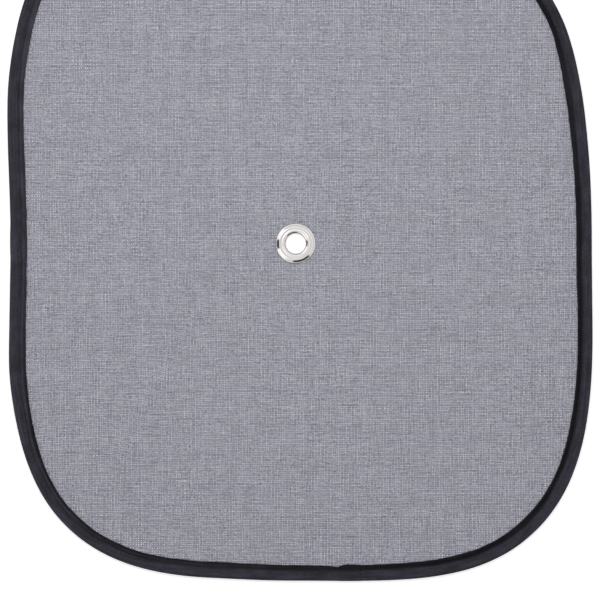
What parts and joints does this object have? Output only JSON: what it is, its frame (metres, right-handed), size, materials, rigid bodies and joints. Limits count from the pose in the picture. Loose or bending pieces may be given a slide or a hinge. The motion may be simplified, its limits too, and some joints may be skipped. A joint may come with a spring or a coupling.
{
  "type": "car side window sunshade",
  "caption": "Flat mesh shade on a sprung wire hoop, bound round its edge, with a metal eyelet at its middle for a suction cup.",
  "frame": {"origin": "middle of the outline's box, on the surface that the binding lies on", "axes": "+X across the shade's width, +Y up its height, +Z out of the face that looks into the car"},
  "size_m": [0.3793, 0.4403, 0.0049],
  "materials": {
    "mesh_fabric": "open polyester mesh, dark grey, seen through",
    "binding_tape": "matt woven polyester tape, near black",
    "spring_steel": "hardened round spring wire",
    "crimp_steel": "zinc-plated crimped sleeve",
    "sewing_thread": "black polyester sewing thread",
    "nickel_plate": "bright nickel plate on pressed brass sheet"
  },
  "bodies": {
    "root": {"mesh_panel": "mesh_fabric", "edge_binding": "binding_tape", "hoop_wire": "spring_steel", "wire_ferrule": "crimp_steel", "seam_needle_thread": "sewing_thread", "seam_bobbin_thread": "sewing_thread", "eyelet_grommet": "nickel_plate", "eyelet_washer": "nickel_plate"}
  },
  "joints": []
}
